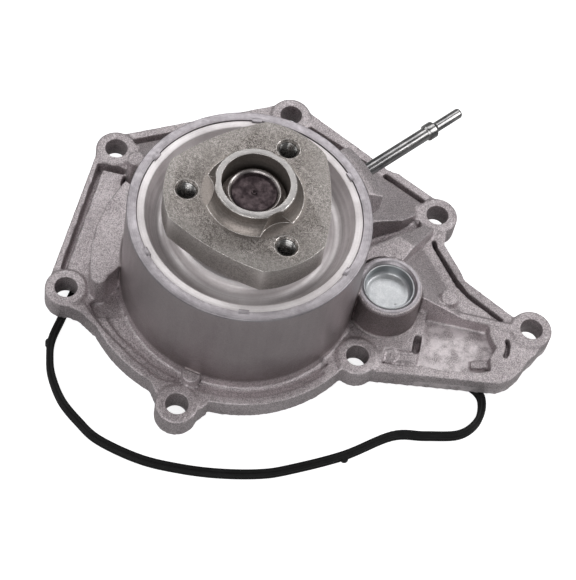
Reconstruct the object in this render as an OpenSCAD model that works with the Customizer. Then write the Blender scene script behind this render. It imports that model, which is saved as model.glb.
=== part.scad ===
// Belt-driven water pump with a vacuum-operated regulating sleeve.
// Origin: shaft axis at the mounting face. +Z runs up the shaft towards the drive flange.

/* [Housing] */
// Thickness of the base flange
base_h = 8.5; // [8.3:0.1:8.7]
// Height of the bolt bosses
boss_h = 9.5; // [9.2:0.1:9.9]
// Radius of the fixing bolt holes
bolt_r = 4.2; // [4:0.1:4.5]
// Outer radius of the tower at its top
tower_r = 43; // [42.6:0.1:43.2]
// Height of the volute hump over the mounting face
hump_h = 20; // [18.5:0.5:20.5]
// Height of the plug boss
plug_boss_h = 24; // [23:0.5:25]

/* [Drive flange] */
// Radius of the circle through the threaded holes
thread_pitch_r = 23.1; // [22.8:0.1:23.4]
// Core radius of the threaded holes
thread_r = 3.35; // [3.2:0.05:3.6]
// Outer radius of the three lobes
lobe_r = 31; // [30:0.2:31.6]
// Outer radius of the hub collar
collar_r = 14.3; // [14:0.1:14.5]

/* [Regulator] */
// Radius of the guide rod circle
rod_pitch_r = 30.5; // [30.3:0.1:30.7]
// Radius of a guide rod
rod_r = 1.5; // [1.4:0.02:1.52]

/* [Hoses and gasket] */
// Radius of the vacuum tube
tube_r = 2.45; // [2.3:0.05:2.6]
// Width of the gasket cord
gasket_w = 2.7; // [2.4:0.1:3]
// Height of the gasket cord
gasket_h = 3.5; // [3.2:0.1:3.6]

/* [Hidden] */
$fn = 0;
$fa = 6;
$fs = 0.6;

alu = [0.62, 0.61, 0.63];
steel = [0.55, 0.53, 0.5];
rubber = [0.07, 0.07, 0.07];

// bolt bosses, clockwise from the front left one
bosses = [[-60, -19], [-56.5, 45], [5, 78], [67.5, 47], [109, 6.5], [48, -20.5], [-11, -55.5]];
plug_at = [53.8, 2.4];
thread_a = 189.8;
side_bulge = 2;
tower_h = 54;
wall_r = 43.6;
sleeve_top = 19.5;

function polar(r, a) = [r * cos(a), r * sin(a)];
function arc(c, r, a, b, n) = [for (i = [0:n]) c + polar(r, a + (b - a) * i / n)];

// smooth closed curve through hand-placed points, n steps between each pair
function curve_at(p, q, r, s, t) =
    0.5 * (2 * q + (r - p) * t + (2 * p - 5 * q + 4 * r - s) * t * t + (3 * q - p - 3 * r + s) * t * t * t);
function closed_curve(pts, n) =
    let (m = len(pts))
    [for (i = [0:m - 1]) for (j = [0:n - 1])
        curve_at(pts[(i + m - 1) % m], pts[i], pts[(i + 1) % m], pts[(i + 2) % m], j / n)];
// the same curve moved sideways by d
function shifted(pts, d) =
    let (m = len(pts))
    [for (i = [0:m - 1])
        let (t = pts[(i + 1) % m] - pts[(i + m - 1) % m])
        pts[i] + d * [t[1], -t[0]] / norm(t)];

module loop_band(pts, w) {
    difference() {
        polygon(shifted(pts, w / 2));
        polygon(shifted(pts, -w / 2));
    }
}

module ring(r_in, r_out, z0, z1) {
    translate([0, 0, z0])
        difference() {
            cylinder(r = r_out, h = z1 - z0);
            translate([0, 0, -1])
                cylinder(r = r_in, h = z1 - z0 + 2);
        }
}

// coil of round wire about Z: mean radius r, wire radius w, from z0 to z1
module coil(r, w, z0, z1, turns, steps) {
    p = (z1 - z0 - 2 * w) / turns;
    half = 360 * w / p * 0.96;
    n = 4;
    translate([0, 0, z0 + w])
        linear_extrude(height = z1 - z0 - 2 * w, twist = -360 * turns, slices = turns * steps,
                       $fa = 60, $fs = 8)
            polygon(concat(
                [for (i = [-n:n]) let (a = half * i / n) polar(r + sqrt(w * w - pow(p * a / 360, 2)), a)],
                [for (i = [n:-1:-n]) let (a = half * i / n) polar(r - sqrt(w * w - pow(p * a / 360, 2)), a)]));
}

// slab that slopes outwards: level top at z1 up to v1, falling to base_h at v2
module sloped_web(turn, t0, t1, v1, v2, z1) {
    foot = v2 + (v2 - v1) / (z1 - base_h);
    rotate([0, 0, turn])
        translate([t0, 0, 0])
            rotate([90, 0, 90])
                linear_extrude(height = t1 - t0)
                    polygon([[25, 1], [25, z1], [v1, z1], [foot, base_h - 1], [foot, 1]]);
}

module prism(z0, z1, pts) {
    translate([0, 0, z0])
        linear_extrude(height = z1 - z0)
            polygon(pts);
}

// outline of the base flange
module base_plan() {
    circle(r = 51.3);
    translate([-5, 1])
        circle(r = 52.3);
    polygon([[-66.9, -17], [-63.3, 43], [-59.5, 50.6], [1.9, 83.7], [7.9, 83.8], [37, 68.4],
             [40.5, 66.2], [46, 63.2], [50.5, 62.5], [70.2, 52.5], [72.5, 44], [72, 35.6],
             [79.8, 25.3], [82, 21.6], [103, 10], [115.4, 3.5], [112, -3.4], [109.4, -7],
             [107.6, -11.5], [104.4, -16], [100.5, -18.6], [95, -19.4], [54, -25],
             [30, -30], [-40, -25], [-47, -31], [-53, -27], [-58.5, -26]]);
    polygon([[-22.4, -48], [-19, -53], [-17.6, -57.5], [-4.2, -57.5], [-0.5, -52.5], [-2, -40], [-20, -40]]);
}

// narrow lightening slots beside the rims
module rim_slots() {
    prism(3.2, 12, [[-64, -11.5], [-61.5, 37.6], [-50.5, 37.6], [-51, 34.7], [-59.4, 34.7], [-61.9, -11.5]]);
    prism(3.2, 12, [[-51.8, 51.1], [-7, 75.2], [-6.2, 72.6], [-50.6, 49.2]]);
    prism(3.2, 12, [[13, 75.4], [38.4, 63.9], [37.4, 61.9], [12.2, 73.2]]);
    prism(3.2, 12, [[45.3, 61.4], [62.4, 52.8], [61.4, 51.2], [44.2, 59.6]]);
    prism(3.2, 12, [[68.5, 36.5], [69.9, 33], [79.2, 21.2], [83.6, 16.8], [99, 8.2],
                    [97.3, 7.2], [84.5, 14], [79.2, 18.2], [68.1, 33], [67.2, 35.6]]);
}

// pockets of the right wing, in front of its rib
module wing_pockets() {
    prism(3.3, 26, [[70, -18], [70, 4.2], [93.6, 4.2], [94.2, 0.5], [97.4, -4], [95.4, -8.5],
                  [96.6, -14], [92, -16], [78, -18.4]]);
    prism(6, 26, [[57, -20.6], [70.5, -18.8], [70.5, -12.5], [62.5, -13.8], [60.5, -13.5], [57.5, -14.5]]);
    prism(3.6, 26, [[67.2, -6.6], [69.6, -5.8], [69.6, -13], [67.2, -13.2]]);
    prism(5, 26, concat(arc([93.5, -3.6], 9, 30, -28, 5), arc([93.5, -3.6], 7.4, -28, 30, 5)));
}

// the sloping webs between the rims and the tower
module webs() {
    difference() {
        union() {
            sloped_web(28.9, -24.4, 32, 49.7, 67.4, 19.7);
            sloped_web(-24.8, -18, 45, 47, 72.2, 20.3);
            difference() {
                sloped_web(-52.3, -60, 60, 50.4, 70.2, 20.9);
                translate([-100, -195.5, -1])
                    cube([300, 200, 60]);
                translate([-100, 30, -1])
                    cube([140, 100, 60]);
            }
        }
        // the bosses keep their own flat tops
        for (b = bosses)
            translate([b[0], b[1], boss_h - 0.2])
                cylinder(r = 9, h = 20);
        // gap behind the plug boss
        translate([plug_at[0], plug_at[1], 0])
            intersection() {
                ring(10, 14.2, 7, 40);
                prism(6, 41, [[0, 0], polar(40, 76), polar(40, 120), polar(40, 165)]);
            }
        // wedge pocket towards the right rear boss
        prism(3.6, 40, [[38, 26], [47.5, 32.4], [54.8, 37], [59.8, 43.4], [62.1, 37.8],
                        [58.6, 33], [51.4, 25.4], [44.7, 19.7], [36, 16]]);
    }
}

module hump() {
    prism(1, hump_h, concat([[-38, -9], [-42, -11.3], [-45.6, -17.6], [-48.4, -20.4], [-50.4, -20]],
                            arc([0, 0], 54.4, 201, 153, 14), [[-36, 18.4]]));
    // ejector posts at both ends of the hump
    for (p = [[-48.4, -17.4], [-47.2, 35.3]])
        translate([p[0], p[1], 1])
            cylinder(r = 3.1, h = hump_h - 0.7);
}

module tower_outside() {
    cylinder(r1 = wall_r, r2 = tower_r, h = tower_h);
    // boss that takes the vacuum tube
    rotate([0, 0, 27])
        rotate_extrude(angle = 28)
            polygon([[38, 34], [46, 36], [50, 41], [50, 48.6], [46, 51], [41, 52.4], [38, 52.4]]);
}

module seal_groove() {
    translate([0, 0, -1])
        linear_extrude(height = 3)
            loop_band(closed_curve(concat([[-58.3, 10], [-55.4, 31], [-44, 45.5], [-26, 56.5], [-6, 66.5],
                [8, 68.6], [26, 62], [44, 53.5], [59, 43.6], [64.6, 32.6], [73.4, 21.6], [83, 10.4],
                [76, 5.8], [64, -9.6], [54, -15.4]], arc([0, 0], 46.6, -28, -152, 10), [[-52.6, -13], [-57.8, -6]]), 3), -3);
}

module housing() {
    color(alu)
    difference() {
        union() {
            difference() {
                union() {
                    linear_extrude(height = base_h)
                        base_plan();
                    webs();
                    // raised rib of the right wing
                    prism(1, 9.5, [[66, 4.2], [101.5, 4.2], [101.5, 6.8], [66, 6.8]]);
                }
                rim_slots();
                wing_pockets();
                // deep pocket behind the hump
                prism(5, 40, [[-36, 17], [-49.4, 24.9], [-51.5, 31], [-50.6, 35.6], [-47.6, 35.2], [-45.4, 31.5], [-34, 25]]);
                // stepped strip round the front of the tower
                prism(7.8, 12, concat([[-52.7, -23.2], [-43.7, -31.6], [-31.3, -40.6], [-19.6, -47]],
                                      arc([0, 0], 48.3, 256, 322, 12), arc([0, 0], 40, 322, 190, 12)));
                prism(7, 12, concat([[-48.2, -21.4], [-37.5, -32.8], [-23.7, -41.5], [-12.7, -45.2]],
                                    arc([0, 0], 46.3, 262, 326, 12), arc([0, 0], 39, 326, 190, 12)));
                // low pocket in front of the hump
                prism(5, 40, [[-46.5, -27.5], [-50.5, -22.6], [-48, -19], [-40, -8], [-36, -24]]);
            }
            hump();
            for (b = bosses)
                translate([b[0], b[1], 0]) {
                    cylinder(r = 7.7, h = boss_h - 0.5);
                    translate([0, 0, boss_h - 0.5])
                        cylinder(r1 = 7.7, r2 = 7.2, h = 0.5);
                }
            tower_outside();
            translate([plug_at[0], plug_at[1], 0])
                cylinder(r1 = 13, r2 = 12.2, h = plug_boss_h);
            // ejector pads
            translate([-8.6, -44.2, 1])
                cylinder(r = 3.2, h = 11);
            translate([77, 9.6, 1])
                cylinder(r = 3.3, h = 13);
            translate([98.6, -9.2, 1])
                cylinder(r = 3, h = 7);
            translate([59.4, -16.5, 1])
                cylinder(r = 3.3, h = 6.2);
            prism(1, 5, [[89.2, -9.8], [96, -7.6], [98.3, -10.9], [89.6, -13.1]]);
            prism(1, 6.8, [[62.5, -13.6], [69.2, -12.6], [69.6, -16.2], [63.1, -17.4]]);
        }
        for (b = bosses)
            translate([b[0], b[1], -1])
                cylinder(r = bolt_r, h = 14);
        // sealed plug cavity
        translate([plug_at[0], plug_at[1], 6])
            cylinder(r = 9.5, h = 30);
        translate([plug_at[0], plug_at[1], plug_boss_h - 0.8])
            cylinder(r1 = 9.5, r2 = 10.5, h = 1);
        // seat of the cup lip and the vacuum chamber
        ring(0, 39.65, 52, 60);
        difference() {
            ring(24, 37, 26, 60);
            cylinder(r = 20, h = 5);
        }
        // the hub stops below the cup lip
        translate([0, 0, 49.5])
            cylinder(r = 30, h = 10);
        // bearing bore and mechanical seal bore
        translate([0, 0, 24])
            cylinder(r = 19, h = 40);
        translate([0, 0, -1])
            cylinder(r = 17, h = 30);
        // impeller chamber, open below
        ring(20, 38.5, -1, 22);
        translate([0, 0, -1])
            cylinder(r = 22, h = 13);
        // volute channel under the hump
        prism(-1, hump_h - 4, concat([[-34, -9], [-46, -12.5]], arc([0, 0], 51, 197, 158, 10), [[-33, 14]]));
        // rod holes, rod seal seats and spring pockets
        for (a = [90, 210, 330])
            rotate([0, 0, a])
                translate([rod_pitch_r, 0, 0]) {
                    translate([0, 0, 20])
                        cylinder(r = rod_r + 0.06, h = 10);
                    translate([0, 0, 24.2])
                        cylinder(r = 3, h = 10);
                }
        for (a = [30, 150, 270])
            rotate([0, 0, a])
                translate([rod_pitch_r, 0, 24])
                    cylinder(r = 5, h = 10);
        // vacuum drilling from the tube down to the chamber floor
        rotate([0, 0, 43.5])
            translate([40, 0, 28])
                cylinder(r = 1.5, h = 18);
        rotate([0, 0, 43.5])
            translate([35, 0, 28.6])
                rotate([0, 90, 0])
                    cylinder(r = 1.4, h = 5);
        translate([27.6, 26.4, 46])
            rotate([0, 0, 48])
                rotate([0, 90, 0])
                    cylinder(r = 1.2, h = 8);
        // socket of the tube
        translate([37.8, 35.2, 46])
            rotate([0, 0, 50])
                translate([-8, 0, 0])
                    rotate([0, 90, 0])
                        cylinder(r = tube_r, h = 40);
        seal_groove();
    }
}

module cover_cup() {
    color([0.66, 0.65, 0.64])
    rotate_extrude()
        polygon([[39.55, 52], [39.55, 53.5], [36.6, 53.5], [35.3, 49.4], [33.5, 46.7], [31.2, 46],
                 [29, 46.8], [27.2, 49], [25.8, 50], [24.05, 50], [24.05, 44], [25.2, 44],
                 [25.2, 48.6], [26.4, 47.6], [28.2, 45.5], [31.2, 44.7], [34.2, 45.4], [35.9, 48.4],
                 [36.8, 52]]);
}

// three lobes joined by shallow arcs that bulge side_bulge beyond their chords
module flange_plan() {
    chord = 2 * lobe_r * sin(37);
    side_r = (chord * chord / 4 + side_bulge * side_bulge) / (2 * side_bulge);
    intersection() {
        circle(r = lobe_r);
        translate(polar(lobe_r * cos(37) + side_bulge - side_r, thread_a + 60))
            circle(r = side_r);
        translate(polar(lobe_r * cos(37) + side_bulge - side_r, thread_a + 180))
            circle(r = side_r);
        translate(polar(lobe_r * cos(37) + side_bulge - side_r, thread_a + 300))
            circle(r = side_r);
    }
}

// centring collar, scalloped beside the three threads
module flared_collar() {
    difference() {
        rotate_extrude()
            polygon([[9, 60], [17.6, 60], [17.6, 65.6], [16.6, 66.6], [15.5, 67.8], [14.7, 69.2],
                     [collar_r, 70.4], [collar_r, 72.8], [collar_r - 0.4, 73.2], [9, 73.2]]);
        for (i = [0:2])
            rotate([0, 0, thread_a + 120 * i])
                translate([thread_pitch_r, 0, 61])
                    cylinder(r = 9.5, h = 20);
    }
}

module drive_flange() {
    color([0.36, 0.34, 0.29])
    difference() {
        union() {
            translate([0, 0, 54])
                linear_extrude(height = 12)
                    flange_plan();
            translate([0, 0, 51])
                cylinder(r = 14, h = 10);
            flared_collar();
        }
        translate([0, 0, 50])
            cylinder(r = 10, h = 30);
        translate([0, 0, 63])
            cylinder(r = 11.8, h = 20);
        for (i = [0:2])
            rotate([0, 0, thread_a + 120 * i])
                translate([thread_pitch_r, 0, 0]) {
                    translate([0, 0, 50])
                        cylinder(r = thread_r, h = 20);
                    translate([0, 0, 65.2])
                        cylinder(r1 = thread_r, r2 = thread_r + 0.9, h = 0.9);
                }
    }
}

module pump_shaft() {
    color([0.5, 0.49, 0.47])
    difference() {
        union() {
            translate([0, 0, -1.5])
                cylinder(r = 8, h = 30);
            translate([0, 0, 24])
                cylinder(r = 9.97, h = 43);
            translate([0, 0, 67])
                cylinder(r1 = 9.97, r2 = 8.97, h = 1);
        }
        translate([0, 0, 67.2])
            cylinder(r = 7.4, h = 2);
        for (z = [31, 42.5])
            translate([0, 0, z])
                rotate_extrude()
                    translate([12.4, 0])
                        circle(r = 3.2);
    }
}

module bearing_outer_ring() {
    color(steel)
    difference() {
        ring(14.8, 18.98, 24.5, 49);
        for (z = [31, 42.5])
            translate([0, 0, z])
                rotate_extrude()
                    translate([12.4, 0])
                        circle(r = 3.2);
    }
}

module ball_ring(r) {
    for (z = [31, 42.5])
        for (i = [0:7])
            rotate([0, 0, 45 * i + z])
                translate([12.4, 0, z])
                    sphere(r = r);
}

module bearing_balls() {
    color([0.75, 0.75, 0.77])
    ball_ring(3.08);
}

module ball_cages() {
    color([0.5, 0.42, 0.22])
    difference() {
        union() {
            ring(11.6, 13.2, 27.4, 34.9);
            ring(11.6, 13.2, 38.7, 46.5);
        }
        ball_ring(3.16);
    }
}

module bearing_seals() {
    color(rubber) {
        ring(10.35, 14.75, 26, 27.2);
        ring(10.35, 14.75, 46.8, 48);
    }
}

module seal_cup() {
    color(steel)
    rotate_extrude()
        polygon([[16.1, 13], [16.95, 13], [16.95, 21], [10, 21], [10, 20.2], [16.1, 20.2]]);
}

module seal_bellows() {
    color(rubber)
    rotate_extrude()
        polygon([[9.3, 15.1], [10.4, 15.1], [10.4, 16.4], [11.4, 17], [10.4, 17.6], [10.4, 19],
                 [15.8, 19], [15.8, 20], [9.3, 20], [9.3, 17.6], [10.2, 17], [9.3, 16.4]]);
}

module seal_spring() {
    color(steel)
    coil(13.4, 0.45, 15.15, 18.95, 3, 20);
}

module seal_carbon_ring() {
    color([0.1, 0.1, 0.11])
    rotate_extrude()
        polygon([[9.3, 12], [12, 12], [12, 13.5], [13.9, 13.5], [13.9, 15], [9.3, 15]]);
}

module seal_mating_ring() {
    color([0.3, 0.3, 0.32])
    ring(8.05, 13, 9.05, 11.95);
}

module impeller() {
    color([0.08, 0.08, 0.09])
    difference() {
        union() {
            translate([0, 0, -2.5])
                cylinder(r = 12.5, h = 11.5);
            translate([0, 0, 6])
                cylinder(r = 32.4, h = 1.5);
            for (i = [0:6])
                rotate([0, 0, 360 / 7 * i])
                    translate([0, 0, -2.5])
                        linear_extrude(height = 9)
                            polygon(concat([for (k = [0:8]) polar(11.5 + 2.5 * k, 7 * k)],
                                           [for (k = [8:-1:0]) polar(11.5 + 2.5 * k, 7 * k + 9 - k * 0.6)]));
        }
        translate([0, 0, -4])
            cylinder(r = 8.02, h = 20);
    }
}

module regulating_sleeve() {
    color([0.6, 0.6, 0.61])
    difference() {
        rotate_extrude()
            polygon([[20.6, 18], [33.2, 18], [33.2, 6.5], [34.6, 6.5], [34.6, sleeve_top], [20.6, sleeve_top]]);
        for (a = [90, 210, 330])
            rotate([0, 0, a])
                translate([rod_pitch_r, 0, 15])
                    cylinder(r = rod_r + 0.02, h = 10);
        for (a = [30, 150, 270])
            rotate([0, 0, a])
                translate([27, 0, 15])
                    cylinder(r = 3, h = 10);
    }
}

module ring_piston() {
    color([0.14, 0.14, 0.15])
    difference() {
        ring(24.6, 36.4, 39, 43.5);
        ring(35, 40, 40.2, 42.2);
        ring(20, 26, 40.2, 42.2);
        for (a = [90, 210, 330])
            rotate([0, 0, a])
                translate([rod_pitch_r, 0, 30])
                    cylinder(r = rod_r + 0.02, h = 20);
        for (a = [30, 150, 270])
            rotate([0, 0, a])
                translate([rod_pitch_r, 0, 37])
                    cylinder(r = 4.8, h = 4);
    }
}

module piston_seals() {
    color(rubber) {
        rotate_extrude()
            polygon([[35.05, 40.25], [36.2, 40.25], [36.92, 41], [36.92, 41.5], [36.2, 42.15], [35.05, 42.15]]);
        rotate_extrude()
            polygon([[25.95, 40.25], [24.8, 40.25], [24.08, 41], [24.08, 41.5], [24.8, 42.15], [25.95, 42.15]]);
    }
}

module guide_rods() {
    color(steel)
    for (a = [90, 210, 330])
        rotate([0, 0, a])
            translate([rod_pitch_r, 0, 16.9])
                cylinder(r = rod_r, h = 26.4);
}

module rod_clips() {
    color(steel)
    for (a = [90, 210, 330])
        rotate([0, 0, a])
            translate([rod_pitch_r, 0, 0])
                ring(rod_r + 0.02, 2.7, 17.1, 17.95);
}

module rod_seals() {
    color(rubber)
    for (a = [90, 210, 330])
        rotate([0, 0, a])
            translate([rod_pitch_r, 0, 0])
                ring(rod_r + 0.06, 2.95, 24.25, 25.95);
}

module return_springs() {
    color(steel)
    for (a = [30, 150, 270])
        rotate([0, 0, a])
            translate([rod_pitch_r, 0, 0])
                coil(3.6, 0.55, 24.02, 40.95, 5, 12);
}

module vacuum_tube() {
    color([0.6, 0.6, 0.6])
    translate([37.8, 35.2, 46])
        rotate([0, 0, 50])
            rotate([0, 90, 0])
                difference() {
                    union() {
                        translate([0, 0, -7.8])
                            cylinder(r = tube_r - 0.02, h = 38.8);
                        translate([0, 0, 27])
                            cylinder(r = 3.1, h = 4);
                        translate([0, 0, 30])
                            cylinder(r = 1.9, h = 13.5);
                    }
                    translate([0, 0, -9])
                        cylinder(r = 1.2, h = 60);
                }
}

module core_plug() {
    color([0.72, 0.74, 0.78])
    translate([plug_at[0], plug_at[1], 0])
        rotate_extrude()
            polygon([[0, 17.6], [8.6, 17.6], [9.4, 18.4], [9.4, 23.1], [8.6, 23.1], [8.6, 19.2], [7.6, 18.6], [0, 18.6]]);
}

module profile_gasket() {
    path = closed_curve(concat([[-59.8, -26], [-61, -35.5], [-59.8, -43], [-57.3, -50], [-51.6, -58.6],
        [-44, -65.1], [-35.3, -70.5], [-19.5, -74.3], [-4.7, -74.5], [9, -73], [22.8, -69.8],
        [32.7, -65.6], [50.5, -55.6], [66.3, -43.6], [78, -40.7], [89.8, -37.3], [95.5, -31],
        [96.6, -23.5], [93.8, -18], [84, -14], [70, -10], [57, -5], [50, 4]],
        arc([0, 0], 47, 16, 148, 9), [[-51, 13], [-57, -8]]), 4);
    color(rubber)
    translate([0, 0, -gasket_h])
        linear_extrude(height = gasket_h - 0.02) {
            loop_band(path, gasket_w);
            translate([-61.5, -37])
                circle(r = 1.5);
            translate([51, -56.3])
                circle(r = 1.5);
        }
}

housing();
cover_cup();
drive_flange();
pump_shaft();
bearing_outer_ring();
bearing_balls();
ball_cages();
bearing_seals();
seal_cup();
seal_bellows();
seal_spring();
seal_carbon_ring();
seal_mating_ring();
impeller();
regulating_sleeve();
ring_piston();
piston_seals();
guide_rods();
rod_clips();
rod_seals();
return_springs();
vacuum_tube();
core_plug();
profile_gasket();
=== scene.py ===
import math

import bmesh
import bpy
from mathutils import Matrix, Vector


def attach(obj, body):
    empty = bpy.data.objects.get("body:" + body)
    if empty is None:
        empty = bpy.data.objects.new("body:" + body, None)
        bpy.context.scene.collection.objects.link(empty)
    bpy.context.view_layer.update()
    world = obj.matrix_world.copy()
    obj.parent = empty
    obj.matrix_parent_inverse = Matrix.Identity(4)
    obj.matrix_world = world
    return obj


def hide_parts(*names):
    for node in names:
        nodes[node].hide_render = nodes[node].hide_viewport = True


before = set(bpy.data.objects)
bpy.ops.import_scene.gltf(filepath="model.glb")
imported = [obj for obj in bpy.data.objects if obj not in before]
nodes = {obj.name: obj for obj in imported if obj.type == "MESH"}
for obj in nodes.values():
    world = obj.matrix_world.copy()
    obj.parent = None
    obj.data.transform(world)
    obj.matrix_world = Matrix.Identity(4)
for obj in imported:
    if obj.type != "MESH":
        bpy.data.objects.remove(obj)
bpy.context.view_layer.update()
mm = 0.001
print("frame loaded:", len(nodes), "nodes")


class Signal:
    # one output of a node; sums and products of signals add Math nodes
    def __init__(self, board, socket):
        self.board = board
        self.socket = socket

    def math(self, kind, first, second):
        return self.board.add("ShaderNodeMath", {"operation": kind}, {0: first, 1: second})

    def __add__(self, other):
        return self.math("ADD", self, other)

    def __radd__(self, other):
        return self.math("ADD", other, self)

    def __sub__(self, other):
        return self.math("SUBTRACT", self, other)

    def __rsub__(self, other):
        return self.math("SUBTRACT", other, self)

    def __mul__(self, other):
        return self.math("MULTIPLY", self, other)

    def __rmul__(self, other):
        return self.math("MULTIPLY", other, self)

    def __pow__(self, other):
        return self.math("POWER", self, other)


class Board:
    # a material and the one method that adds nodes to it
    def __init__(self, name):
        self.material = bpy.data.materials.new(name)
        self.material.use_nodes = True
        self.tree = self.material.node_tree
        self.shader = self.tree.nodes["Principled BSDF"]
        self.place = self.add("ShaderNodeTexCoord", out="Object")

    def add(self, kind, settings=None, inputs=None, out=0):
        node = self.tree.nodes.new(kind)
        for key, value in (settings or {}).items():
            if key == "stops":
                while len(node.color_ramp.elements) < len(value):
                    node.color_ramp.elements.new(0.5)
                for element, (at, colour) in zip(node.color_ramp.elements, value):
                    element.position = at
                    element.color = colour
            else:
                setattr(node, key, value)
        for key, value in (inputs or {}).items():
            self.feed(node.inputs[key], value)
        return Signal(self, node.outputs[out])

    def feed(self, socket, value):
        if isinstance(value, Signal):
            self.tree.links.new(value.socket, socket)
        else:
            socket.default_value = value

    def set(self, **values):
        for key, value in values.items():
            self.feed(self.shader.inputs[key.replace("_", " ")], value)

    def noise(self, size, detail=3.0, rough=0.5, vector=None):
        # size is the width of one feature in millimetres
        return self.add("ShaderNodeTexNoise", {}, {"Vector": vector or self.place, "Scale": 1000.0 / size,
                                                   "Detail": detail, "Roughness": rough})

    def blend(self, factor, first, second):
        return self.add("ShaderNodeMix", {"data_type": "RGBA"}, {0: factor, 6: first, 7: second}, out=2)

    def span(self, value, low, high, toLow=0.0, toHigh=1.0):
        # smooth step from toLow to toHigh as the value goes from low to high
        return self.add("ShaderNodeMapRange", {"interpolation_type": "SMOOTHSTEP"}, {
            "Value": value, "From Min": low, "From Max": high, "To Min": toLow, "To Max": toHigh})

    def rings(self, coordinate, scale, detail=4.0):
        # tool marks that follow one coordinate only
        return self.add("ShaderNodeTexNoise", {"noise_dimensions": "1D"},
                        {"W": coordinate, "Scale": scale, "Detail": detail})

    def bump(self, height, depth, strength=1.0, under=None):
        inputs = {"Height": height, "Distance": depth * mm, "Strength": strength}
        if under:
            inputs["Normal"] = under
        return self.add("ShaderNodeBump", {}, inputs)

    def edges(self, low, high):
        # 0 in flat places, 1 on worn outer edges
        return self.span(self.add("ShaderNodeNewGeometry", out="Pointiness"), low, high)

    def axes(self):
        parts = self.add("ShaderNodeSeparateXYZ", {}, {0: self.place})
        node = parts.socket.node
        return [Signal(self, node.outputs[i]) for i in range(3)]

    def radius(self, centre=(0.0, 0.0)):
        x, y, z = self.axes()
        dx = x - centre[0] * mm
        dy = y - centre[1] * mm
        return (dx * dx + dy * dy) ** 0.5


plugPlace = (53.8, 2.4)


def rgb(red, green, blue):
    return (red, green, blue, 1.0)


def castAluminium():
    look = dict(light=rgb(0.72, 0.66, 0.675), dark=rgb(0.31, 0.275, 0.285), seam=rgb(0.045, 0.034, 0.035),
                edge=rgb(0.84, 0.80, 0.81), wall=rgb(0.31, 0.272, 0.28), paintedShade=rgb(0.115, 0.09, 0.088))
    b = Board("castAluminium")
    x, y, z = b.axes()
    grain = b.noise(0.42, 4.0, 0.7)
    sand = b.noise(1.3, 3.0, 0.6)
    cloud = b.noise(18.0, 3.0, 0.55)
    tone = b.span(grain * 0.85 + sand * 0.15 + cloud * 0.2, 0.48, 0.72)
    body = b.blend(tone, look["dark"], look["light"])
    # the turned tower wall is smoother than the sand-grained flange; its darker tone is painted shade
    wall = b.span(b.radius(), 0.0446, 0.0440) * b.span(z, 0.0095, 0.0125)
    drawn = b.add("ShaderNodeMapping", {}, {"Vector": b.place, "Scale": (1.0, 1.0, 0.12)})
    streak = b.noise(3.0, 2.0, 0.5, drawn)
    wallTone = b.blend(streak * 0.6 + grain * 0.3, look["wall"], rgb(0.46, 0.415, 0.425))
    # painted shade: the tower wall darkens towards its foot
    wallTone = b.blend(b.span(z + cloud * 0.016, 0.040, 0.016) * 0.8, wallTone, look["paintedShade"])
    body = b.blend(wall * 0.9, body, wallTone)
    # painted shade on the plug boss's side wall
    bossSideShade = b.span(b.radius(plugPlace), 0.0140, 0.0134) * b.span(z, 0.0236, 0.0215)
    body = b.blend(bossSideShade * b.span(z, 0.0075, 0.0095) * 0.75, body, look["paintedShade"])
    # the wing pocket's floor gets a pale, mottled painted pool of light
    floor = b.span(z, 0.0046, 0.0038) * b.span(x, 0.068, 0.071) * b.span(b.noise(4.5, 2.0, 0.6), 0.35, 0.65)
    body = b.blend(floor * 0.75, body, rgb(0.86, 0.80, 0.815))
    # painted shade darkens the creases and hollows
    creaseShadeMask = b.edges(0.485, 0.42)
    # bright edges: real wear plus a painted highlight
    worn = b.edges(0.53, 0.60) * b.span(grain, 0.25, 0.6)
    body = b.blend(creaseShadeMask * 0.85, body, look["seam"])
    body = b.blend(worn * 0.7, body, look["edge"])
    rough = b.span(grain * 0.5 + cloud * 0.5, 0.3, 0.7, 0.52, 0.38) - wall * 0.06
    pits = b.noise(0.9, 5.0, 0.7)
    relief = b.bump(pits * (1.0 - wall * 0.7), 0.26, 1.0, b.bump(sand, 0.26, 0.6))
    b.set(Base_Color=body, Roughness=rough, Metallic=0.86, Normal=relief)
    b.set(Specular_IOR_Level=0.5)
    return b.material


def machinedAluminium():
    look = dict(light=rgb(0.47, 0.44, 0.465), dark=rgb(0.27, 0.25, 0.265))
    b = Board("machinedAluminium")
    r = b.radius()
    lathe = b.rings(r, 5200.0)
    cloud = b.noise(9.0, 3.0, 0.6)
    spots = b.noise(1.4, 4.0, 0.7)
    tone = b.span(lathe * 0.4 + cloud * 0.45 + spots * 0.25, 0.38, 0.72)
    body = b.blend(tone, look["dark"], look["light"])
    b.set(Base_Color=body, Roughness=b.span(spots, 0.3, 0.7, 0.46, 0.32), Metallic=0.9,
          Normal=b.bump(lathe, 0.05, 0.5, b.bump(spots, 0.06, 0.4)))
    return b.material


def pressedCup():
    look = dict(light=rgb(0.86, 0.82, 0.825), dark=rgb(0.62, 0.575, 0.58))
    b = Board("pressedCup")
    r = b.radius()
    rings = b.rings(r, 1500.0, 5.0)
    cloud = b.noise(14.0, 4.0, 0.6)
    spots = b.noise(0.8, 3.0, 0.6)
    tone = b.span(rings * 0.35 + cloud * 0.55 + spots * 0.15, 0.35, 0.72)
    body = b.blend(tone, look["dark"], look["light"])
    b.set(Base_Color=body, Roughness=b.span(cloud, 0.3, 0.7, 0.46, 0.36), Metallic=0.45,
          Normal=b.bump(rings, 0.012, 0.3, b.bump(spots, 0.03, 0.3)))
    return b.material


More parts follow.
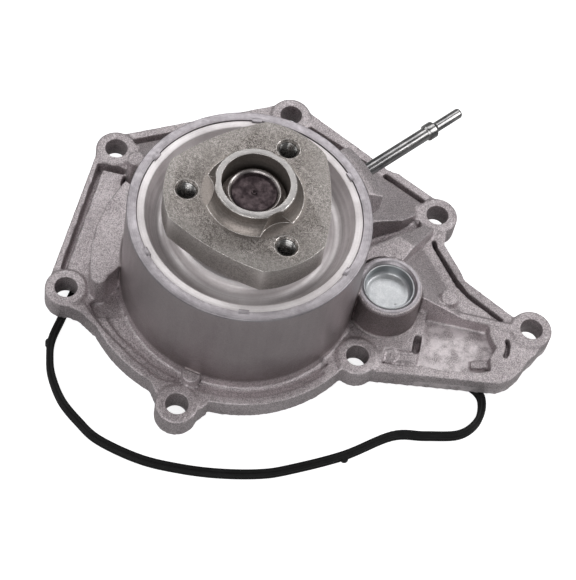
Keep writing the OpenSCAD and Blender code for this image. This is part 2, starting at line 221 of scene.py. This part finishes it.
def flangeSteel():
    look = dict(dark=rgb(0.065, 0.056, 0.050), mid=rgb(0.20, 0.18, 0.165), light=rgb(0.42, 0.385, 0.365),
                edge=rgb(0.84, 0.80, 0.77))
    b = Board("flangeSteel")
    x, y, z = b.axes()
    fleck = b.noise(0.42, 3.0, 0.7)
    fleckWide = b.noise(0.95, 4.0, 0.75)
    cloud = b.noise(11.0, 4.0, 0.6)
    speck = b.span(fleck * 0.55 + fleckWide * 0.45, 0.40, 0.62)
    body = b.blend(speck, look["dark"], look["light"])
    body = b.blend(b.span(cloud, 0.35, 0.7) * 0.55, body, look["mid"])
    # the turned collar and bore are cleaner than the sintered plate, and browner
    hub = b.span(b.radius(), 0.0188, 0.0172)
    turned = b.rings(z, 2600.0, 3.0)
    body = b.blend(hub * 0.75, body, b.blend(turned, rgb(0.15, 0.13, 0.117), rgb(0.35, 0.31, 0.285)))
    rim = b.span(z, 0.0727, 0.0730)
    body = b.blend(rim * 0.6, body, rgb(0.42, 0.415, 0.42))
    # bright edges: real wear plus a painted highlight
    worn = b.edges(0.505, 0.56)
    body = b.blend(worn * 0.7, body, look["edge"])
    relief = b.bump(fleckWide, 0.12, 0.7, b.bump(fleck, 0.05, 0.6))
    b.set(Base_Color=body, Roughness=b.span(fleck, 0.3, 0.7, 0.50, 0.32) - hub * 0.05, Metallic=0.80,
          Normal=relief)
    return b.material


def turnedSteel(name, dark, light, scale=3000.0, rough=(0.36, 0.24), centre=(0.0, 0.0), metallic=0.97):
    b = Board(name)
    r = b.radius(centre)
    lathe = b.rings(r, scale)
    cloud = b.noise(5.0, 4.0, 0.65)
    spots = b.noise(0.7, 3.0, 0.7)
    body = b.blend(b.span(lathe * 0.35 + cloud * 0.45 + spots * 0.3, 0.35, 0.75), dark, light)
    b.set(Base_Color=body, Roughness=b.span(spots, 0.3, 0.7, rough[0], rough[1]), Metallic=metallic,
          Normal=b.bump(lathe, 0.03, 0.5, b.bump(spots, 0.04, 0.4)))
    return b.material


def shaftSteel():
    b = Board("shaftSteel")
    x, y, z = b.axes()
    r = b.radius()
    lathe = b.rings(r, 3000.0)
    cloud = b.noise(2.4, 4.0, 0.65)
    tone = b.span(lathe * 0.35 + cloud * 0.65, 0.35, 0.7)
    body = b.blend(tone, rgb(0.26, 0.235, 0.23), rgb(0.52, 0.49, 0.48))
    # the end face is painted very dark brown
    darkEndTone = b.blend(b.span(cloud, 0.3, 0.7), rgb(0.018, 0.012, 0.014), rgb(0.062, 0.047, 0.050))
    body = b.blend(b.span(z, 0.0655, 0.0662) * b.span(r, 0.0086, 0.0079), body, darkEndTone)
    b.set(Base_Color=body, Roughness=b.span(cloud, 0.3, 0.7, 0.36, 0.26), Metallic=0.9,
          Normal=b.bump(lathe, 0.02, 0.4, b.bump(cloud, 0.03, 0.3)))
    return b.material


def threadSteel():
    b = Board("threadSteel")
    spots = b.noise(0.6, 3.0, 0.6)
    b.set(Base_Color=b.blend(spots, rgb(0.05, 0.05, 0.05), rgb(0.50, 0.49, 0.48)), Metallic=1.0,
          Roughness=b.span(spots, 0.3, 0.7, 0.34, 0.2), Normal=b.bump(spots, 0.03, 0.4))
    return b.material


def wearAndHighlightSteel():
    b = Board("wearAndHighlightSteel")
    rub = b.span(b.noise(1.1, 4.0, 0.7), 0.36, 0.60)
    b.set(Base_Color=b.blend(rub, rgb(0.26, 0.235, 0.215), rgb(0.86, 0.82, 0.79)), Metallic=0.8,
          Roughness=b.span(rub, 0.0, 1.0, 0.44, 0.26), Normal=b.bump(rub, 0.02, 0.3))
    return b.material


def tubeZinc():
    b = Board("tubeZinc")
    along = b.noise(2.2, 3.0, 0.6, b.add("ShaderNodeMapping", {"vector_type": "TEXTURE"}, {
        "Vector": b.place, "Rotation": (0.0, 0.0, math.radians(50.0)), "Scale": (9.0, 1.0, 1.0)}))
    spots = b.noise(0.9, 4.0, 0.7)
    cloud = b.noise(7.0, 3.0, 0.6)
    tone = b.span(along * 0.5 + cloud * 0.5, 0.35, 0.7)
    body = b.blend(tone, rgb(0.13, 0.13, 0.135), rgb(0.46, 0.45, 0.445))
    b.set(Base_Color=body, Metallic=1.0, Roughness=b.span(spots, 0.3, 0.7, 0.26, 0.14),
          Normal=b.bump(spots, 0.03, 0.35, b.bump(along, 0.03, 0.4)))
    return b.material


def plugZinc():
    b = Board("plugZinc")
    spots = b.noise(0.5, 4.0, 0.7)
    cloud = b.noise(4.5, 4.0, 0.65)
    x, y, z = b.axes()
    tone = b.span(cloud * 0.6 + spots * 0.4, 0.35, 0.7)
    body = b.blend(tone, rgb(0.50, 0.515, 0.535), rgb(0.71, 0.72, 0.73))
    # painted shade on the plug's cup walls
    side = b.span(z, 0.0190, 0.0205) * b.span(z, 0.0236, 0.0226)
    body = b.blend(side * 0.75, body, rgb(0.20, 0.215, 0.225))
    b.set(Base_Color=body, Metallic=0.72, Roughness=b.span(spots, 0.3, 0.7, 0.46, 0.30),
          Normal=b.bump(spots, 0.04, 0.4, b.bump(cloud, 0.05, 0.3)))
    return b.material


def softRubber(name, tint=0.022):
    b = Board(name)
    grain = b.noise(0.35, 3.0, 0.6)
    dust = b.noise(6.0, 4.0, 0.65)
    clean = rgb(tint * 0.6, tint * 0.6, tint * 0.6)
    dusty = rgb(tint * 2.0, tint * 2.0, tint * 2.1)
    body = b.blend(b.span(dust, 0.4, 0.75) * 0.6, clean, dusty)
    b.set(Base_Color=body, Roughness=b.span(grain, 0.3, 0.7, 0.62, 0.46), Normal=b.bump(grain, 0.04, 0.5))
    b.set(Specular_IOR_Level=0.22)
    return b.material


def moulding(name, dark, light, rough=(0.5, 0.36)):
    b = Board(name)
    grain = b.noise(0.5, 3.0, 0.6)
    flow = b.noise(9.0, 3.0, 0.5)
    b.set(Base_Color=b.blend(b.span(grain * 0.4 + flow * 0.6, 0.35, 0.7), dark, light),
          Roughness=b.span(grain, 0.3, 0.7, rough[0], rough[1]), Normal=b.bump(grain, 0.05, 0.4))
    return b.material


mats = dict(
    cast=castAluminium(),
    machined=machinedAluminium(),
    cup=pressedCup(),
    flange=flangeSteel(),
    thread=threadSteel(),
    worn=wearAndHighlightSteel(),
    tube=tubeZinc(),
    plug=plugZinc(),
    steel=shaftSteel(),
    bright=turnedSteel("brightSteel", rgb(0.50, 0.50, 0.51), rgb(0.78, 0.78, 0.80), 1500.0, (0.22, 0.12)),
    plain=turnedSteel("plainSteel", rgb(0.36, 0.355, 0.35), rgb(0.62, 0.61, 0.60), 2200.0, (0.38, 0.26)),
    brass=turnedSteel("cageBrass", rgb(0.42, 0.30, 0.11), rgb(0.70, 0.54, 0.26), 1800.0, (0.36, 0.24)),
    gasket=softRubber("gasketRubber", 0.006),
    rubber=softRubber("sealRubber", 0.026),
    carbon=moulding("sealCarbon", rgb(0.02, 0.02, 0.022), rgb(0.07, 0.07, 0.075), (0.42, 0.3)),
    ceramic=moulding("sealCeramic", rgb(0.12, 0.12, 0.125), rgb(0.24, 0.24, 0.25), (0.2, 0.12)),
    black=moulding("glassFilledMoulding", rgb(0.022, 0.022, 0.024), rgb(0.065, 0.065, 0.07)),
)
print("materials ready:", len(mats))


def finish(bm, name, body, materials, standsFor=(), smooth=35.0):
    mesh = bpy.data.meshes.new(name)
    bm.to_mesh(mesh)
    bm.free()
    for material in materials:
        mesh.materials.append(material)
    mesh.polygons.foreach_set("use_smooth", [True] * len(mesh.polygons))
    mesh.set_sharp_from_angle(angle=math.radians(smooth))
    piece = bpy.data.objects.new(name, mesh)
    bpy.context.scene.collection.objects.link(piece)
    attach(piece, body)
    if standsFor:
        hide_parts(*standsFor)
    print("made", name, len(mesh.polygons), "faces")
    return piece


def applyModifiers(piece):
    # bakes the live modifiers into the piece's own mesh
    graph = bpy.context.evaluated_depsgraph_get()
    graph.update()
    done = bpy.data.meshes.new_from_object(piece.evaluated_get(graph))
    old = piece.data
    piece.modifiers.clear()
    piece.data = done
    bpy.data.meshes.remove(old)


def nodeCopy(name):
    bm = bmesh.new()
    bm.from_mesh(nodes[name].data)
    bmesh.ops.remove_doubles(bm, verts=bm.verts, dist=2e-6)
    return bm


def roundProfile(points, radius, steps=4):
    # (r, z) outline in millimetres with its corners rounded; a point may carry its own radius
    out = []
    count = len(points)
    for i in range(count):
        here = Vector(points[i][:2])
        back = Vector(points[i - 1][:2]) - here
        ahead = Vector(points[(i + 1) % count][:2]) - here
        size = points[i][2] if len(points[i]) > 2 else radius
        turn = back.angle(ahead, math.pi)
        if size <= 0.0 or turn > math.radians(172.0):
            out.append(here)
            continue
        reach = min(size / math.tan(turn / 2.0), back.length * 0.45, ahead.length * 0.45)
        size = reach * math.tan(turn / 2.0)
        first = here + back.normalized() * reach
        last = here + ahead.normalized() * reach
        centre = here + (back.normalized() + ahead.normalized()).normalized() * (size / math.sin(turn / 2.0))
        for k in range(steps + 1):
            t = k / steps
            spoke = (first - centre) * (1.0 - t) + (last - centre) * t
            out.append(centre + spoke.normalized() * size)
    return out


def spinRing(bm, points, segments, centre=(0.0, 0.0), angle=360.0, start=0.0, onAxis=False, slotIndex=0):
    # turns a closed (r, z) outline about Z; a part turn gets flat ends
    before = set(bm.faces)
    turn = Matrix.Rotation(math.radians(start), 4, "Z")
    verts = [bm.verts.new(turn @ Vector((p[0] * mm, 0.0, p[1] * mm))) for p in points]
    full = abs(angle - 360.0) < 0.01
    loop = list(range(len(verts)))
    edges = [bm.edges.new((verts[i], verts[(i + 1) % len(verts)])) for i in loop
             if not (onAxis and i == len(verts) - 1)]
    geom = verts + edges
    if full:
        spun = bmesh.ops.spin(bm, geom=geom, cent=(0, 0, 0), axis=(0, 0, 1), angle=math.tau,
                              steps=segments, use_merge=True)
    else:
        first = bm.faces.new(verts)
        spun = bmesh.ops.spin(bm, geom=[first] + geom, cent=(0, 0, 0), axis=(0, 0, 1),
                              angle=math.radians(angle), steps=segments, use_merge=False)
        if not first.is_valid:
            bm.faces.new(verts)
    made = [f for f in bm.faces if f not in before]
    touched = list({v for f in made for v in f.verts})
    if onAxis:
        bmesh.ops.remove_doubles(bm, verts=[v for v in touched if Vector(v.co.xy).length < 1e-6], dist=1e-6)
        made = [f for f in bm.faces if f not in before]
        touched = list({v for f in made for v in f.verts})
    bmesh.ops.recalc_face_normals(bm, faces=made)
    bmesh.ops.translate(bm, verts=touched, vec=(centre[0] * mm, centre[1] * mm, 0.0))
    for f in made:
        f.material_index = slotIndex
    return touched


bossPlaces = [(-60, -19), (-56.5, 45), (5, 78), (67.5, 47), (109, 6.5), (48, -20.5), (-11, -55.5)]
tubeRoot = Vector((37.8, 35.2, 46.0)) * mm
tubeTurn = Matrix.Rotation(math.radians(50.0), 4, "Z") @ Matrix.Rotation(math.radians(90.0), 4, "Y")


housing = dict(voxel=0.5, quickVoxel=1.3, smoothRounds=2, maxTriangles=165000, ringTop=54.03, bossTop=9.53,
               stakes=6, stakeStart=38.0)


def makeHousing():
    bm = nodeCopy("housing")
    rough = bpy.data.meshes.new("housingRough")
    bm.to_mesh(rough)
    bm.free()
    piece = bpy.data.objects.new("housingRough", rough)
    bpy.context.scene.collection.objects.link(piece)
    remesh = piece.modifiers.new("castSkin", "REMESH")
    remesh.mode = "VOXEL"
    remesh.voxel_size = housing["voxel"] * mm
    applyModifiers(piece)
    bm = bmesh.new()
    bm.from_mesh(piece.data)
    for _ in range(housing["smoothRounds"]):
        bmesh.ops.smooth_vert(bm, verts=bm.verts, factor=0.5, use_axis_x=True, use_axis_y=True,
                              use_axis_z=True)
    bm.to_mesh(piece.data)
    bm.free()
    print("cast skin:", len(piece.data.polygons), "quads")
    share = housing["maxTriangles"] / max(1, 2 * len(piece.data.polygons))
    if share < 1.0:
        thin = piece.modifiers.new("thin", "DECIMATE")
        thin.ratio = share
        applyModifiers(piece)
    bm = bmesh.new()
    bm.from_mesh(piece.data)
    bpy.data.objects.remove(piece)
    # machined ring on top of the tower
    top = housing["ringTop"]
    land = roundProfile([(39.64, 52.3, 0), (39.64, top, 0.12), (43.02, top, 0.35), (43.06, top - 1.0, 0),
                         (42.0, top - 1.2, 0)], 0.1)
    spinRing(bm, land, 180, slotIndex=1)
    # faced bosses with drilled bolt holes
    for place in bossPlaces:
        face = housing["bossTop"]
        drilled = roundProfile([(4.14, 0.06, 0), (4.14, face, 0.25), (6.75, face, 0.2), (6.85, face - 0.5, 0),
                                (5.2, face - 0.7, 0), (5.2, 0.06, 0)], 0.1)
        spinRing(bm, drilled, 48, centre=place)
    # reamed seat of the plug
    seat = roundProfile([(9.46, 12.0, 0), (9.46, 23.2, 0.2), (10.35, 24.06, 0.15), (11.6, 24.06, 0.2),
                         (11.7, 23.4, 0), (10.4, 23.0, 0), (10.4, 12.0, 0)], 0.1)
    spinRing(bm, seat, 64, centre=plugPlace, slotIndex=1)
    return finish(bm, "castHousing", "casing", [mats["cast"], mats["machined"]],
                  ["housing"], 50.0)


cup = dict(lipTop=53.52, valley=46.0, stakeLength=3.6)


def makeCup():
    bm = bmesh.new()
    top = cup["lipTop"]
    section = roundProfile([
        (39.5, 52.02, 0), (39.5, top, 0.15), (36.7, top, 0.5), (36.3, 52.2, 0.6), (35.2, 49.2, 2),
        (33.6, 46.8, 3), (31.2, cup["valley"], 3), (29.0, 46.9, 3), (27.2, 49.0, 2), (25.8, 50.0, 1.0),
        (24.05, 50.0, 0.3), (24.05, 44.0, 0), (25.2, 44.0, 0), (25.2, 48.6, 0.4), (26.4, 47.6, 1),
        (28.2, 45.5, 2), (31.2, 44.7, 3), (34.2, 45.4, 2), (35.9, 48.4, 2), (36.8, 52.02, 0)], 0.2, 5)
    spinRing(bm, section, 160)
    finish(bm, "pressedCup", "casing", [mats["cup"]], ["cover_cup"], 50.0)
    # upset metal of the ring that holds the cup, in six places
    bm = bmesh.new()
    for i in range(housing["stakes"]):
        made = bmesh.ops.create_cube(bm, size=1.0)["verts"]
        bmesh.ops.scale(bm, verts=made, vec=Vector((1.7, cup["stakeLength"], 0.62)) * mm)
        edges = list({e for v in made for e in v.link_edges})
        bmesh.ops.bevel(bm, geom=edges, offset=0.12 * mm, affect="EDGES", segments=2, profile=0.5,
                        material=-1)
        fresh = [v for v in bm.verts if Vector(v.co.xy).length < 4.0 * mm]
        bmesh.ops.translate(bm, verts=fresh, vec=Vector((39.75, 0.0, 53.78)) * mm)
        angle = math.radians(housing["stakeStart"] + 360.0 / housing["stakes"] * i)
        bmesh.ops.rotate(bm, verts=fresh, cent=(0, 0, 0), matrix=Matrix.Rotation(angle, 3, "Z"))
    finish(bm, "stakeMarks", "casing", [mats["machined"]], (), 40.0)


flange = dict(edge=0.55, highlightFrom=65.2, threadLow=54.6, threadHigh=64.9, threadPitch=1.25,
              threadDepth=0.42, threadRadius=3.35, threadPitchRadius=23.1, firstThread=189.8)


def makeFlange():
    bm = nodeCopy("drive_flange")
    bmesh.ops.dissolve_limit(bm, angle_limit=math.radians(1.5), verts=bm.verts, edges=bm.edges)
    sharp = [e for e in bm.edges if len(e.link_faces) == 2 and e.calc_face_angle() > math.radians(32.0)]
    broken = bmesh.ops.bevel(bm, geom=sharp, offset=flange["edge"] * mm, affect="EDGES", segments=3,
                             profile=0.5, material=-1, clamp_overlap=True)
    # handling has polished the upper edges
    # the upper edge bevels get the bright steel: rubbed edges plus a painted highlight
    for f in broken["faces"]:
        if f.calc_center_median().z > flange["highlightFrom"] * mm:
            f.material_index = 2
    bmesh.ops.recalc_face_normals(bm, faces=bm.faces)
    for i in range(3):
        angle = math.radians(flange["firstThread"] + 120.0 * i)
        place = Vector((math.cos(angle), math.sin(angle), 0.0)) * flange["threadPitchRadius"] * mm
        cutThread(bm, place, flange["threadLow"], flange["threadHigh"])
    return finish(bm, "driveFlange", "shaft", [mats["flange"], mats["thread"], mats["worn"]],
                  ["drive_flange"], 30.0)


def cutThread(bm, place, low, high):
    # one triangular ridge wound up the wall of the hole
    radius = flange["threadRadius"] * mm
    pitch = flange["threadPitch"] * mm
    turns = (high - low) * mm / pitch - 0.5
    outer = radius + 0.08 * mm
    tip = radius - flange["threadDepth"] * mm
    start = low * mm
    verts = [bm.verts.new((outer, 0, start)), bm.verts.new((tip, 0, start + pitch * 0.44)),
             bm.verts.new((tip, 0, start + pitch * 0.56)), bm.verts.new((outer, 0, start + pitch * 0.98))]
    face = bm.faces.new(verts)
    before = set(bm.faces) - {face}
    bmesh.ops.spin(bm, geom=[face] + list(face.edges) + verts, cent=(0, 0, 0), axis=(0, 0, 1),
                   dvec=(0, 0, pitch / 24.0), angle=math.tau * turns, steps=int(24 * turns))
    made = [f for f in bm.faces if f not in before]
    touched = list({v for f in made for v in f.verts})
    bmesh.ops.recalc_face_normals(bm, faces=made)
    bmesh.ops.translate(bm, verts=touched, vec=place)
    for f in made:
        f.material_index = 1


def makeShaft():
    bm = bmesh.new()
    section = roundProfile([
        (0.0, -1.5, 0), (7.6, -1.5, 0.4), (8.0, -1.0, 0.2), (8.0, 24.0, 0), (9.97, 24.0, 0.3),
        (9.97, 29.0, 0), (9.4, 30.0, 0.5), (9.2, 31.0, 0.6), (9.4, 32.0, 0.5), (9.97, 33.0, 0),
        (9.97, 40.5, 0), (9.4, 41.5, 0.5), (9.2, 42.5, 0.6), (9.4, 43.5, 0.5), (9.97, 44.5, 0),
        (9.97, 67.0, 0.3), (9.0, 68.0, 0.3), (8.5, 67.6, 0.4), (7.9, 66.95, 0.9), (6.8, 66.75, 0.9),
        (1.0, 66.8, 0.3), (0.7, 66.5, 0), (0.0, 66.5, 0)], 0.2)
    spinRing(bm, section, 96, onAxis=True)
    return finish(bm, "pumpShaft", "shaft", [mats["steel"]], ["pump_shaft"], 50.0)


def makeTube():
    bm = bmesh.new()
    section = roundProfile([
        (1.2, -7.8, 0), (2.43, -7.8, 0.2), (2.43, 26.6, 0.3), (3.1, 27.3, 0.35), (3.1, 30.4, 0.35),
        (2.2, 31.2, 0.4), (1.9, 31.8, 0.3), (1.9, 42.9, 0.2), (1.65, 43.5, 0.15), (1.2, 43.5, 0.1)], 0.2)
    made = spinRing(bm, section, 56)
    bmesh.ops.transform(bm, matrix=Matrix.Translation(tubeRoot) @ tubeTurn, verts=made)
    return finish(bm, "vacuumTube", "casing", [mats["tube"]], ["vacuum_tube"], 50.0)


def makePlug():
    bm = bmesh.new()
    section = roundProfile([
        (0.0, 17.6, 0), (8.4, 17.6, 0.6), (9.4, 18.6, 0.5), (9.4, 23.15, 0.25), (8.75, 23.15, 0.25),
        (8.55, 20.2, 0.5), (7.9, 18.9, 0.9), (6.6, 18.62, 0.5), (0.0, 18.7, 0)], 0.2, 5)
    spinRing(bm, section, 88, centre=plugPlace, onAxis=True)
    # small centre mark on the plug's floor
    pin = [(0.0, 18.3), (0.45, 18.3), (0.45, 18.75), (0.0, 18.85)]
    spinRing(bm, pin, 16, centre=(57.4, -1.2), onAxis=True)
    return finish(bm, "corePlug", "casing", [mats["plug"]], ["core_plug"], 50.0)


gasket = dict(width=2.7, height=3.5, steps=8, lipHeight=0.35, nubs=((-61.5, -37.0), (51.0, -56.3)))


def gasketPath():
    points = [(-59.8, -26), (-61, -35.5), (-59.8, -43), (-57.3, -50), (-51.6, -58.6), (-44, -65.1),
              (-35.3, -70.5), (-19.5, -74.3), (-4.7, -74.5), (9, -73), (22.8, -69.8), (32.7, -65.6),
              (50.5, -55.6), (66.3, -43.6), (78, -40.7), (89.8, -37.3), (95.5, -31), (96.6, -23.5),
              (93.8, -18), (84, -14), (70, -10), (57, -5), (50, 4)]
    points += [(47 * math.cos(math.radians(16 + 132 * i / 9)), 47 * math.sin(math.radians(16 + 132 * i / 9)))
               for i in range(10)]
    points += [(-51, 13), (-57, -8)]
    out = []
    count = len(points)
    for i in range(count):
        p, q, r, s = (Vector(points[(i + k) % count]) for k in (-1, 0, 1, 2))
        for j in range(gasket["steps"]):
            t = j / gasket["steps"]
            out.append(0.5 * (2 * q + (r - p) * t + (2 * p - 5 * q + 4 * r - s) * t * t
                              + (3 * q - p - 3 * r + s) * t ** 3))
    return out


def makeGasket():
    bm = bmesh.new()
    path = gasketPath()
    half = gasket["width"] / 2.0
    low = -gasket["height"]
    high = -0.03
    lip = gasket["lipHeight"]
    # a flat-sided cord with two raised sealing lips on each face
    middle = (low + high) / 2
    section = roundProfile([
        (-half, low + 0.3), (-half * 0.45, low), (0.0, low + lip), (half * 0.45, low), (half, low + 0.3),
        (half, middle - 0.3), (half - 0.25, middle), (half, middle + 0.3), (half, high - 0.3),
        (half * 0.45, high), (0.0, high - lip), (-half * 0.45, high), (-half, high - 0.3),
        (-half, middle + 0.3), (-half + 0.25, middle), (-half, middle - 0.3)], 0.2, 2)
    rings = []
    count = len(path)
    for i, here in enumerate(path):
        ahead = path[(i + 1) % count] - path[i - 1]
        side = Vector((ahead.y, -ahead.x)).normalized()
        verts = [bm.verts.new(((here.x + side.x * s.x) * mm, (here.y + side.y * s.x) * mm, s.y * mm))
                 for s in section]
        rings.append([bm.edges.new((verts[k], verts[(k + 1) % len(verts)])) for k in range(len(verts))])
    for i in range(count):
        bmesh.ops.bridge_loops(bm, edges=rings[i] + rings[(i + 1) % count])
    # locating nubs on the outside
    for place in gasket["nubs"]:
        nub = roundProfile([(0.0, low + 0.2, 0), (1.5, low + 0.2, 0.4), (1.5, high - 0.2, 0.4),
                            (0.0, high - 0.2, 0)], 0.2)
        spinRing(bm, nub, 28, centre=place, onAxis=True)
    bmesh.ops.recalc_face_normals(bm, faces=bm.faces)
    return finish(bm, "profileGasket", "casing", [mats["gasket"]], ["profile_gasket"], 40.0)


# inner pieces keep their CAD shape and get broken edges of this width in millimetres
innerEdges = dict(impeller=0.3, regulating_sleeve=0.18, ring_piston=0.2)
innerLooks = dict(impeller=("shaft", "moulding", "black"), regulating_sleeve=("regulator", "steel", "plain"),
                  ring_piston=("regulator", "moulding", "black"))


def makeInner():
    for name, edge in innerEdges.items():
        body, slotName, look = innerLooks[name]
        bm = nodeCopy(name)
        bmesh.ops.dissolve_limit(bm, angle_limit=math.radians(1.5), verts=bm.verts, edges=bm.edges)
        sharp = [e for e in bm.edges if len(e.link_faces) == 2 and e.calc_face_angle() > math.radians(40.0)]
        bmesh.ops.bevel(bm, geom=sharp, offset=edge * mm, affect="EDGES", segments=2, profile=0.5,
                        material=-1, clamp_overlap=True)
        bmesh.ops.recalc_face_normals(bm, faces=bm.faces)
        first, *rest = name.split("_")
        pieceName = first + "".join(word.capitalize() for word in rest) + "Piece"
        finish(bm, pieceName, body, [mats[look]], [name], 35.0)


nodeLooks = dict(
    housing="cast", cover_cup="cup", drive_flange="flange", pump_shaft="steel", bearing_outer_ring="plain",
    bearing_balls="bright", ball_cages="brass", bearing_seals="rubber", seal_cup="plain", seal_bellows="rubber",
    seal_spring="bright", seal_carbon_ring="carbon", seal_mating_ring="ceramic", impeller="black",
    regulating_sleeve="plain", ring_piston="black", piston_seals="rubber", guide_rods="bright", rod_clips="plain",
    rod_seals="rubber", return_springs="bright", vacuum_tube="tube", core_plug="plug", profile_gasket="gasket")
for name, look in nodeLooks.items():
    nodes[name].data.materials.clear()
    nodes[name].data.materials.append(mats[look])
    for polygon in nodes[name].data.polygons:
        polygon.material_index = 0

makeHousing()
makeCup()
makeFlange()
makeShaft()
makeTube()
makePlug()
makeGasket()
makeInner()
print("pieces done")


studio = dict(
    floorZ=-3.5, floorTone=0.50, floorGlow=0.86, worldTone=0.25, floorGap=0.02,
    # name: place, aim, size, watts
    lamps=dict(
        backBox=((-0.05, 0.62, 0.80), (0.02, 0, 0.03), (0.9, 0.35), 2.5),
        leftBox=((-0.75, -0.05, 0.55), (0, 0, 0.03), (0.5, 0.7), 1.9),
        rightBox=((0.75, 0.15, 0.60), (0, 0, 0.03), (0.4, 0.6), 3.0),
        frontBox=((-0.15, -0.75, 0.45), (0, 0, 0.03), (0.9, 0.35), 2.9)))
viewpoint = dict(lens=123.4, place=(0.01844, -0.37770, 0.62552), right=(0.97615, 0.18507, 0.11350),
                 forward=(0.0, 0.52279, -0.85246))


def makeFloor():
    bm = bmesh.new()
    bmesh.ops.create_grid(bm, x_segments=1, y_segments=1, size=3.0)
    bmesh.ops.translate(bm, verts=bm.verts, vec=(0, 0, (studio["floorZ"] - studio["floorGap"]) * mm))
    mesh = bpy.data.meshes.new("studioFloor")
    bm.to_mesh(mesh)
    bm.free()
    floor = bpy.data.objects.new("studioFloor", mesh)
    bpy.context.scene.collection.objects.link(floor)
    b = Board("studioPaper")
    tone = studio["floorTone"]
    b.set(Base_Color=rgb(tone, tone, tone), Roughness=0.9)
    b.set(Specular_IOR_Level=0.1)
    paper = b.add("ShaderNodeBsdfDiffuse", {}, {"Color": rgb(0.62, 0.62, 0.625)})
    glow = b.add("ShaderNodeEmission", {}, {"Color": rgb(1, 1, 1), "Strength": studio["floorGlow"]})
    bright = b.add("ShaderNodeAddShader", {}, {0: paper, 1: glow})
    seen = b.add("ShaderNodeLightPath", out="Is Camera Ray")
    mix = b.add("ShaderNodeMixShader", {}, {0: seen, 1: Signal(b, b.shader.outputs[0]), 2: bright})
    # clear from underneath, so that the open chamber can be looked at
    under = b.add("ShaderNodeNewGeometry", out="Backfacing")
    clear = b.add("ShaderNodeBsdfTransparent")
    mix = b.add("ShaderNodeMixShader", {}, {0: under, 1: mix, 2: clear})
    b.tree.links.new(mix.socket, b.tree.nodes["Material Output"].inputs[0])
    mesh.materials.append(b.material)


def areaLight(name, place, target, size, watts):
    data = bpy.data.lights.new(name, "AREA")
    data.shape = "RECTANGLE"
    data.size, data.size_y = size
    data.energy = watts
    lamp = bpy.data.objects.new(name, data)
    lamp.location = place
    lamp.rotation_euler = (Vector(target) - Vector(place)).to_track_quat("-Z", "Y").to_euler()
    bpy.context.scene.collection.objects.link(lamp)


def makeStudio():
    makeFloor()
    world = bpy.data.worlds.new("studioRoom")
    world.use_nodes = True
    tone = studio["worldTone"]
    world.node_tree.nodes["Background"].inputs[0].default_value = (tone, tone, tone, 1.0)
    bpy.context.scene.world = world
    for name, (place, aim, size, watts) in studio["lamps"].items():
        areaLight(name, place, aim, size, watts)
    bpy.context.scene.view_settings.view_transform = "Standard"


def makeCamera():
    lens = bpy.data.cameras.new("viewCamera")
    lens.sensor_fit = "HORIZONTAL"
    lens.sensor_width = 36.0
    lens.lens = viewpoint["lens"]
    lens.clip_start = 0.01
    camera = bpy.data.objects.new("viewCamera", lens)
    right = Vector(viewpoint["right"]).normalized()
    forward = Vector(viewpoint["forward"]).normalized()
    up = right.cross(forward).normalized()
    right = forward.cross(up)
    turn = Matrix((right, up, -forward)).transposed()
    camera.matrix_world = Matrix.Translation(viewpoint["place"]) @ turn.to_4x4()
    bpy.context.scene.collection.objects.link(camera)
    bpy.context.scene.camera = camera


makeStudio()
makeCamera()
print("studio ready")
